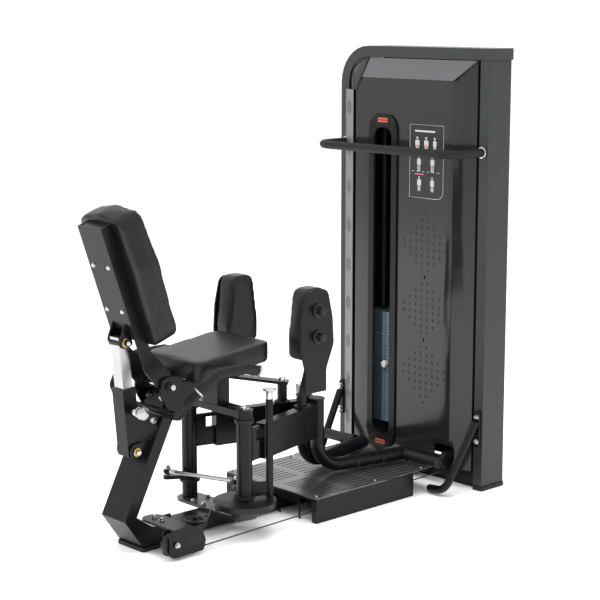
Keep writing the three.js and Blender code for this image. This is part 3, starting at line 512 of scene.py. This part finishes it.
def placard():
    """A plain instruction sheet: generic figures, two dots and a divider, with one round corner."""
    u0, u1, v0, v1 = 33, 192, 1025, 1282
    corner = 28
    outline = [(u0, v1), (u0, v0), (u1 - corner, v0)]
    for turned in [math.radians(a) for a in range(15, 91, 15)]:
        outline.append((u1 - corner + corner * math.sin(turned), v0 + corner - corner * math.cos(turned)))
    outline.append((u1, v1))
    sheet = Shape()
    sheet.front(outline, FACE - 0.1, 0.6)
    sheet.done("placard_sheet", "frame", PLACARD, "cover")
    y = FACE - 0.7
    white, grey, pink = Shape(), Shape(), Shape()

    def patch(shape, a0, a1, b0, b1, r=0.8):
        shape.front(rounded(a0, a1, b0, b1, min(r, (a1 - a0) / 2.1, (b1 - b0) / 2.1), 3), y, 0.4)

    white.sweep([(u, y, v) for u, v in outline], 0.8, 0.3, sides=6, up=(0, 1, 0), closed=True)
    patch(white, u0 + 24, u1 - 40, v1 - 25, v1 - 19)
    for k in range(6):
        patch(grey, u0 + 10 + 24 * k, u0 + 22 + 24 * k, v0 + 92, v0 + 94)
    for x, top, w in ((u0 + 36, v1 - 46, 10), (u0 + 78, v1 - 46, 10), (u0 + 118, v1 - 46, 8),
                      (u0 + 44, v1 - 112, 9), (u0 + 108, v1 - 112, 9)):
        grey.lathe((x, y, top), (0, -1, 0), washer(4.5, 1.4), 12)
        patch(grey, x - w, x + w, top - 30, top - 7, 5)
        patch(grey, x - w * 0.7, x - 1.5, top - 52, top - 31, 2)
        patch(grey, x + 1.5, x + w * 0.7, top - 52, top - 31, 2)
    for x in (u0 + 36, u0 + 78):
        pink.lathe((x, y - 0.5, v1 - 72), (0, -1, 0), washer(4.2, 1.4), 14)
    patch(pink, u0 + 26, u0 + 68, v0 + 82, v0 + 85)
    for x in (u0 + 46, u0 + 108):
        patch(grey, x - 9, x + 9, v0 + 42, v0 + 66, 6)
        patch(grey, x - 6, x - 1.5, v0 + 24, v0 + 41, 2)
        patch(grey, x + 1.5, x + 6, v0 + 24, v0 + 41, 2)
        grey.lathe((x, y, v0 + 72), (0, -1, 0), washer(4, 1.4), 12)
    white.done("placard_white", "frame", WHITE, "cover")
    grey.done("placard_figures", "frame", GREY, "cover")
    pink.done("placard_accents", "frame", PINK, "cover")


def window_details():
    """Two labels with marks but no words, four screws, and the slotted panel behind the stack."""
    low, high = span("window_bezel")
    y = low.y
    middle = (low.x + high.x) / 2
    labels = Shape()
    for z in (high.z - 22, low.z + 22):
        labels.front(rounded(middle - 24, middle + 24, z - 8, z + 8, 4), y + 0.2, 1.0)
    labels.done("window_labels", "frame", ORANGE, "cover")
    marks = Shape()
    for z in (high.z - 22, low.z + 22):
        for k in range(-3, 4):
            x = middle + k * 6
            marks.front(rounded(x - 1.8, x + 1.8, z - 2.5, z + 2.5, 1, 2), y - 0.8, 0.4)
    marks.done("window_label_marks", "frame", BLACK, "cover")
    screws = Shape()
    for x in (low.x + 12, high.x - 12):
        for z in (high.z - 44, low.z + 44):
            screws.lathe((x, y + 0.2, z), (0, -1, 0), dome(5.5, 4), 16)
    screws.done("window_screws", "frame", BLACK, "frame_paint")
    # A perforated back panel seen through the slot.
    rear = span("rear_cover")[0].y
    panel = Shape()
    panel.block((low.x - 10, rear - 3, 130), (high.x + 10, rear - 0.5, 1290))
    panel.done("stack_back_panel", "frame", DARK, "cover")
    dots = Shape()
    for group in range(9):
        z0 = 640 + group * 70
        for r in range(-2, 3):
            for c in range(-2, 3):
                if abs(r) + abs(c) <= 2:
                    x, z = middle + 34 + c * 12, z0 + r * 11
                    dots.front(rounded(x - 2.5, x + 2.5, z - 3.5, z + 3.5, 2, 2), rear - 3.4, 0.5)
    dots.done("stack_panel_slots", "frame", GREY, "cover")


def weight_stack():
    """Both blocks of plates with their number strips, and the pin's knob."""
    for node, body in (("resting_plates", "frame"), ("lifted_plates", "weight_carriage")):
        low, high = span(node)
        top = high.z - (40 if node == "lifted_plates" else 0)
        count = max(1, round((top - low.z) / 13.2))
        pitch = (top - low.z) / count
        plates = Shape()
        strip = Shape()
        marks = Shape()
        middle = (low.x + high.x) / 2
        for k in range(count):
            z0, z1 = low.z + k * pitch + 0.5, low.z + (k + 1) * pitch - 0.5
            outline = rounded(low.x, high.x, low.y, high.y, 6, 3)
            plates.prism(outline, (0, 0, z0), (1, 0, 0), (0, 1, 0), z1 - z0)
            strip.front(rounded(middle - 46, middle - 14, z0 + 0.8, z1 - 0.8, 1.5, 2), low.y + 0.1, 0.8)
            for d in (-5, 0, 5):
                x = middle - 32 + d
                marks.front(rounded(x, x + 2.5, z0 + 3.2, z1 - 3.2, 0.8, 2), low.y - 0.65, 0.3)
        if node == "lifted_plates":
            plates.lathe((middle, -30, top - 2), (0, 0, 1),
                         [(0, 0), (13, 0), (13, 8), (10, 12), (8, 14), (8, 34), (6, 38), (5, 42), (0, 42)])
        piece = plates.done(f"{node}_ribbed", body, PLATES, "plates", bevel=0.8)
        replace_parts(piece, node)
        strip.done(f"{node}_strip", body, LABEL, "plates")
        marks.done(f"{node}_numbers", body, DARK, "plates")
    low, high = span("selector_pin")
    centre = ((low.x + high.x) / 2, high.y, (low.z + high.z) / 2)
    length = high.y - low.y
    pin = Shape()
    pin.lathe(centre, TO_SEAT,
              [(0, 0), (4, 1), (5, 4), (5, length - 26), (10, length - 24), (13.6, length - 18),
               (14, length - 9), (11.5, length - 3), (6, length - 0.5), (0, length)])
    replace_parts(pin.done("stack_pin_knob", "stack_pin", KNOB_WHITE, "plates"), "selector_pin")


def tower_trim():
    """A chrome ring round each end of the handle, on the tower's front."""
    rings = Shape()
    low, high = span("tower_handle")
    z = (low.z + high.z) / 2
    for side in (1, -1):
        rings.lathe((side * (high.x - 15), RIM - 0.2, z), TO_SEAT,
                    [(15.4, 0), (19, 0), (20, 0.8), (20, 2.6), (18, 4), (15.4, 4.2), (15.4, 0)], 32)
    rings.done("handle_rings", "frame", CHROME, "chrome")


# ---- Fixings ----
def brace_bolts():
    """Two bolts through the top of each brace."""
    middle, face = 339, -70.2
    for side, name in ((1, "right"), (-1, "left")):
        places = [((side * middle, face, z), TO_SEAT) for z in (268, 180)]
        bolts(f"brace_bolts_{name}", "frame", places, 9)


def deck_details():
    """Fans of long grip slots, and six small bolts."""
    low, high = span("deck_plate")
    grooves = Shape()
    rows = ((low.y + 40, low.y + 150), (low.y + 185, low.y + 290), (low.y + 325, high.y - 60))
    for side in (1, -1):
        for k in range(9):
            u = side * (26 + k * 21)
            lean = side * (2 + k * 2.4)
            for row in rows:
                grooves.sweep([(u + lean * (y - low.y) / 200, y, high.z) for y in row], 3.4, 0.4, sides=8)
    grooves.done("deck_grooves", "frame", DARK, "frame_paint")
    columns, lines = (low.x + 14, high.x - 14), (low.y + 14, (low.y + high.y) / 2, high.y - 60)
    bolts("deck_bolts", "frame", [((x, y, high.z), Z_AXIS) for x in columns for y in lines], 4)


BACKREST_AT = Vector((0, -1410, 855))
BACKREST_LEAN = 19
CROSSBAR = Vector((0, -1368, 673))
STRUT_FOOT = Vector((0, -1336, 320))
KNOB_FACE = 70


def backrest_fixings():
    """The bracket's bolts and lid, the strut's eye on the crossbar, and the ends of the hinge."""
    turn = Matrix.Rotation(math.radians(BACKREST_LEAN), 4, "X")
    place = Matrix.Translation(BACKREST_AT * MM) @ turn
    shape = Shape()
    for x in (-38, 38):
        for z in (62, -88):
            shape.lathe((x, 0, z), (0, -1, 0), washer(8, 1.6))
            shape.lathe((x, -1.4, z), (0, -1, 0), dome(6.6, 5))
    shape.done("backrest_bolts", "backrest", CHROME, "chrome", place=place)
    lid = Shape()
    lid.block((-51, 6.5, 184), (51, 41.5, 190))
    lid.done("backrest_channel_lid", "backrest", BLACK, "frame_paint", bevel=0.8, place=place)
    eye = Shape()
    eye.lathe(CROSSBAR - Vector((27, 0, 0)), X_AXIS, sleeve(13.2, (19, 0), (20, 1), (20, 53), (19, 54)), 32)
    eye.done("strut_eye", "strut_inner", BLACK, "frame_paint")
    ring = Shape()
    ends = Shape()
    for side in (1, -1):
        ring.lathe((side * 34.2, CROSSBAR.y, CROSSBAR.z), (side, 0, 0),
                   sleeve(11.2, (15.5, 0), (15.5, 3.5), (13, 5)), 28)
        ends.lathe((side * 48, CROSSBAR.y, CROSSBAR.z), (side, 0, 0), dome(8, 6))
    ring.done("crossbar_bushings", "backrest", BRASS, "chrome")
    ends.done("crossbar_bolts", "backrest", CHROME, "chrome")
    low, high = span("backrest_hinge_bolt")
    pivot = (low + high) / 2
    hinge = Shape()
    caps = Shape()
    for side in (1, -1):
        caps.lathe((side * 69.8, pivot.y, pivot.z), (side, 0, 0),
                   sleeve(9.2, (15, 0), (16, 1.5), (16, 4), (14, 6)), 32)
        hinge.hexagon((side * high.x, pivot.y, pivot.z), (side, 0, 0), 18, 7)
        hinge.lathe((side * (high.x + 6), pivot.y, pivot.z), (side, 0, 0), dome(6, 3), 16)
    caps.done("hinge_washers", "frame", RUBBER, "rubber")
    hinge.done("hinge_bolt_heads", "frame", CHROME, "chrome")


def strut_fixings():
    """The strut's foot, its pull knob with a collar, and the bolts of the hand grips' flange."""
    ring = Shape()
    bolt = Shape()
    for side in (1, -1):
        ring.lathe((side * 38.4, STRUT_FOOT.y, STRUT_FOOT.z), (side, 0, 0),
                   sleeve(8.2, (15, 0), (15, 4), (12, 6)), 28)
        bolt.lathe((side * 48, STRUT_FOOT.y, STRUT_FOOT.z), (side, 0, 0), dome(9, 6))
    ring.done("strut_foot_bushings", "strut_outer", BRASS, "chrome")
    bolt.done("strut_foot_bolts", "strut_outer", CHROME, "chrome")
    low, high = span("recline_knob")
    y, z = (low.y + high.y) / 2, (low.z + high.z) / 2
    neck = high.x - low.x - 26
    profile = [(0, 0), (5, 1), (6, 3), (6, neck - 9), (12, neck - 8), (12, neck + 7), (17, neck + 9),
               (21.5, neck + 11), (22, neck + 14), (22, neck + 19), (20, neck + 22), (14, neck + 24),
               (0, neck + 25)]
    knob = Shape()
    knob.lathe((low.x, y, z), X_AXIS, profile, 32)
    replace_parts(knob.done("recline_pull_knob", "recline_pin", STEEL, "chrome"), "recline_knob")
    collar = Shape()
    collar.lathe((KNOB_FACE - 14, y, z), X_AXIS, sleeve(14.3, (17, 0), (17, 10), (15, 12)), 28)
    collar.done("recline_collar", "strut_outer", CHROME, "chrome")
    # The bolted flange on the rear post's back, which carries the hand grips.
    shape = Shape()
    slope = Vector((0, 0.452, 0.892))
    back = Vector((0, -0.892, 0.452))
    middle = Vector((0, -1238.6, 440)) + back * 6.6
    for x in (-34, 34):
        for step in (-40, 36):
            at = middle + Vector((x, 0, 0)) + slope * step
            shape.lathe(at, back, washer(10, 2))
            shape.hexagon(at + back * 1.8, back, 15, 8)
    shape.done("grip_flange_bolts", "frame", CHROME, "chrome")


def grip_rings():
    """A cap on each hand grip's end, and a ring where its foam begins."""
    rings = Shape()
    for side, name in ((1, "right"), (-1, "left")):
        end = span(f"hand_grip_{name}")[1].y
        rings.lathe((side * 207, end - 1, 556), (0, 1, -0.28),
                    [(0, 0), (17, 0), (19.5, 1.5), (19.5, 7), (17.5, 10), (0, 10.5)], 28)
        at = Vector((side * 205, -1221, 521))
        away = Vector((side * 17, 34, 35)).normalized()
        rings.lathe(at - away * 3, away,
                    [(14.4, 0), (18, 0.6), (19, 1.6), (19, 5), (18, 6), (14.4, 6.6), (14.4, 0)], 28)
    rings.done("grip_rings", "frame", CHROME, "chrome")


# ---- Arms ----
ARM_PIVOT = (140, -980)
PAD_POST = (50, -640)
TUBE_CORNER = (32, -553)
TUBE_START = (103, -194)
TUBE_HEIGHT = 117


def mirrored(side, point, z=0):
    """A point of the right arm, or for side -1 of the left one."""
    return Vector((side * point[0], point[1], z))


def arm_fixings():
    """What each arm carries: pad knobs, the foot tube's cap and bolts, collars, end bolts and peg caps."""
    pad_low, pad_high = span("right_pad")
    plate = span("right_pad_bracket")[1].x
    tube_top = span("right_foot_tube")[1].z
    hold = [(0, 0), (23, 0), (24, 1), (24, 5), (21, 7), (15.5, 7.5), (15, 9), (14.5, 27), (12, 30), (0, 31)]
    for side, name in ((1, "right"), (-1, "left")):
        body = f"{name}_arm"
        y = (pad_low.y + pad_high.y) / 2
        holds = Shape()
        for z in (pad_low.z + 165, pad_low.z + 78):
            holds.lathe((side * plate, y + 2, z), (side, 0, 0), hold, 32)
        holds.done(f"{name}_pad_knobs", body, NYLON, "rubber")
        cap = Shape()
        outline = [(33 * math.cos(a), 26 * math.sin(a)) for a in [2 * math.pi * k / 32 for k in range(32)]]
        turn = -side * math.atan2(TUBE_START[0] - TUBE_CORNER[0], TUBE_START[1] - TUBE_CORNER[1])
        right = Vector((math.cos(turn), math.sin(turn), 0))
        up = Vector((-math.sin(turn), math.cos(turn), 0))
        cap.prism(outline, mirrored(side, TUBE_CORNER, tube_top), right, up, 5)
        cap.done(f"{name}_tube_cap", body, RUBBER, "rubber", bevel=1.6)
        # Two domed bolts on the foot tube, then the pad post's collar and top bolt, then the pivot's.
        run = mirrored(side, TUBE_START) - mirrored(side, TUBE_CORNER)
        run.normalize()
        square = Vector((run.y * side, -run.x * side, 0))
        domes = Shape()
        bright = Shape()
        for step in (150, 262):
            at = mirrored(side, TUBE_CORNER, TUBE_HEIGHT) + run * step + square * 29.5
            domes.lathe(at, square, washer(12, 2), 24)
            domes.lathe(at + square * 1.6, square, dome(9.5, 6), 24)
        domes.lathe(mirrored(side, PAD_POST, 350.2), Z_AXIS,
                    sleeve(17.3, (27, 0), (28, 1), (28, 5), (24, 7)), 32)
        bright.hexagon(mirrored(side, PAD_POST, 426), Z_AXIS, 20, 11)
        bright.lathe(mirrored(side, PAD_POST, 424.4), Z_AXIS, washer(16, 2.4), 24)
        bright.lathe(mirrored(side, ARM_PIVOT, 416.2), Z_AXIS, washer(17, 2.6), 28)
        domes.lathe(mirrored(side, ARM_PIVOT, 118), Z_AXIS,
                    [(26.3, 2), (34, 2), (35, 3), (35, 11), (32, 13), (26.3, 14), (26.3, 2)], 32)
        domes.lathe(mirrored(side, ARM_PIVOT, 372), Z_AXIS,
                    sleeve(26.3, (31, 0), (32, 1), (32, 12), (30, 14)), 32)
        domes.done(f"{name}_arm_collars", body, RUBBER, "frame_paint")
        bright.hexagon(mirrored(side, ARM_PIVOT, 418.6), Z_AXIS, 18, 7)
        bright.done(f"{name}_arm_bolts", body, CHROME, "chrome")
        peg_low, peg_high = span(f"{name}_foot_peg")
        z = (peg_low.z + peg_high.z) / 2
        y = (peg_low.y + peg_high.y) / 2
        outer = peg_high.x if side > 0 else peg_low.x
        end = Shape()
        end.lathe((outer, y, z), (side, 0, 0),
                  [(0, 0), (19, 0), (20.5, 1.5), (20.5, 5), (17, 7.5), (0, 8)], 28)
        # The boss that joins the peg to its tube.
        inner = abs(peg_low.x if side > 0 else peg_high.x)
        end.lathe((side * (inner - 20), y, z), (side, 0, 0),
                  [(0, 0), (14, 0), (14, 13), (21, 14), (22, 15), (22, 19), (21, 20.4), (0, 20.4)], 28)
        end.done(f"{name}_peg_caps", body, NYLON, "rubber")


def selector():
    """The start position pin's pull knob, above its post."""
    low, high = span("selector_pull_pin")
    x, y = (low.x + high.x) / 2, (low.y + high.y) / 2
    neck = span("selector_post")[1].z - low.z
    top = high.z - low.z
    profile = [(0, 0), (5.5, 0), (6, 1), (6, neck + 1), (11, neck + 1.2), (11, neck + 22), (12.5, neck + 25),
               (20, neck + 28), (22, neck + 31), (22, top - 2), (20, top), (0, top)]
    knob = Shape()
    knob.lathe((x, y, low.z), Z_AXIS, profile, 32)
    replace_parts(knob.done("start_pull_knob", "start_pin", CHROME, "chrome"), "selector_pull_pin")


def link_rod():
    """The rod between the arms, with an eye and a nut at each end."""
    left_end, right_end = Vector((-177.5, -1045, 157)), Vector((74.2, -956, 157))
    along = (right_end - left_end).normalized()
    reach = (right_end - left_end).length
    rod = Shape()
    profile = [(0, 0), (9, 0), (9, 24), (7, 27), (7, reach - 51), (9, reach - 48), (9, reach - 24),
               (0, reach - 24)]
    rod.lathe(left_end + along * 12, along, profile, 20)
    rod.done("link_rod_bar", "rod", STEEL, "chrome")
    ends = Shape()
    nuts = Shape()
    for p in (left_end, right_end):
        ends.lathe(p - Vector((0, 0, 9)), Z_AXIS,
                   [(0, 0), (10, 0), (14, 4), (15, 9), (14, 14), (10, 18), (0, 18)], 28)
        nuts.lathe(p + Vector((0, 0, -13.5)), Z_AXIS,
                   [(0, 0), (6, 0), (6, 22), (11, 22.4), (11, 25), (6, 25.2), (6, 27), (0, 27)], 20)
        nuts.hexagon(p + Vector((0, 0, 12)), Z_AXIS, 15, 8)
    ends.done("link_rod_eyes", "rod", BLACK, "frame_paint")
    piece = nuts.done("link_rod_nuts", "rod", CHROME, "chrome")
    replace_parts(piece, "link_rod")


def pulleys():
    """The five cable wheels, each turned about its thinnest direction."""
    for place in ("rear", "guide", "lower", "upper_right", "upper_left"):
        first, _, last = place.partition("_")
        ending = f"_{last}" if last else ""
        node, body = f"{first}_pulley{ending}", f"{first}_wheel{ending}"
        low, high = span(node)
        centre = (low + high) / 2
        size = high - low
        axis = min(range(3), key=lambda i: size[i])
        direction = [0, 0, 0]
        direction[axis] = 1
        half = size[axis] / 2
        r = max(size) / 2
        flank = [(6.5, half - 2), (11, half - 2), (12, half - 4), (r - 14, half - 5), (r - 12, half), (r, half),
                 (r, half - 2), (r - 5.8, 1.2)]
        profile = [(across, -height) for across, height in flank] + flank[::-1] + [(6.5, -half + 2)]
        wheel = Shape()
        wheel.lathe(centre, direction, profile, 48)
        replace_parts(wheel.done(f"{node}_wheel", body, NYLON, "wheel"), node)


def rear_group():
    """Bolts of the rear pulley's bracket and axle, its guard's slots, and bolts of the pivots' plate."""
    high = span("rear_pulley_bracket")[1]
    wheel_low, wheel_high = span("rear_pulley")
    centre = (wheel_low + wheel_high) / 2
    bolts("rear_bracket_bolts", "frame", [((x, -1288, 102.2), Z_AXIS) for x in (60, 98)], 8)
    bolts("rear_axle_bolt", "frame", [((high.x + 0.1, centre.y, centre.z), X_AXIS)], 8)
    vents = Shape()
    for k in range(5):
        shift = 50 + k * 11
        slanted = [(shift - 2.2, -16), (shift + 2.2, -16), (shift + 9, 16), (shift + 4.6, 16)]
        vents.prism(slanted, (centre.x + 16.9, centre.y, centre.z + 2), (0, 1, 0), Z_AXIS, 0.5)
    vents.done("rear_guard_slots", "frame", DARK, "frame_paint")
    plate_top = span("pivot_base_plate")[0].z + 10.1
    places = ((-84, -1012), (-30, -1012), (42, -1012), (-84, -948), (42, -948))
    bolts("pivot_plate_bolts", "frame", [((x, y, plate_top), Z_AXIS) for x, y in places], 8)


cover_details()
placard()
window_details()
weight_stack()
tower_trim()
brace_bolts()
deck_details()
backrest_fixings()
strut_fixings()
grip_rings()
arm_fixings()
selector()
link_rod()
pulleys()
rear_group()


# ---- Floor, light and camera ----
def studio():
    floor = bpy.data.meshes.new("floor")
    reach = 400
    corners = [(-reach, -reach, 0), (reach, -reach, 0), (reach, reach, 0), (-reach, reach, 0)]
    floor.from_pydata(corners, [], [(0, 1, 2, 3)])
    ground = bpy.data.objects.new("floor", floor)
    bpy.context.collection.objects.link(ground)
    ground.location.z = -0.0005
    floor.materials.append(finish("floor_white", (0.95, 0.95, 0.95), 0.75, spread=0.004, relief=0.0))
    world = bpy.data.worlds.new("studio")
    bpy.context.scene.world = world
    world.use_nodes = True
    sky = world.node_tree.nodes["Background"]
    sky.inputs["Color"].default_value = (1, 1, 1, 1)
    sky.inputs["Strength"].default_value = 1.2

    def softbox(name, at, aim, size, power):
        lamp = bpy.data.lights.new(name, "AREA")
        lamp.size = size
        lamp.energy = power
        thing = bpy.data.objects.new(name, lamp)
        bpy.context.collection.objects.link(thing)
        thing.location = at
        thing.visible_glossy = False
        thing.rotation_mode = "QUATERNION"
        thing.rotation_quaternion = (Vector(aim) - Vector(at)).to_track_quat("-Z", "Y")

    softbox("key", (-3.6, -4.6, 3.8), (0, -0.7, 0.6), 2.6, 220)
    softbox("top", (0.4, -0.6, 4.6), (0.2, -0.7, 0), 3.0, 160)
    softbox("side", (4.6, -2.0, 2.4), (0, -0.5, 0.7), 1.6, 50)


def camera():
    lens = bpy.data.cameras.new("camera")
    lens.sensor_width = 36
    lens.lens = 98.808
    eye = bpy.data.objects.new("camera", lens)
    bpy.context.collection.objects.link(eye)
    turn, rise = math.radians(46.86), math.radians(10.15)
    back = Vector((math.sin(turn) * math.cos(rise), -math.cos(turn) * math.cos(rise), math.sin(rise)))
    eye.location = (4.0187, -4.3685, 1.6945)
    eye.rotation_mode = "QUATERNION"
    eye.rotation_quaternion = (-back).to_track_quat("-Z", "Y")
    lens.clip_end = 1500
    bpy.context.scene.camera = eye
    bpy.context.scene.view_settings.view_transform = "Standard"


studio()
camera()
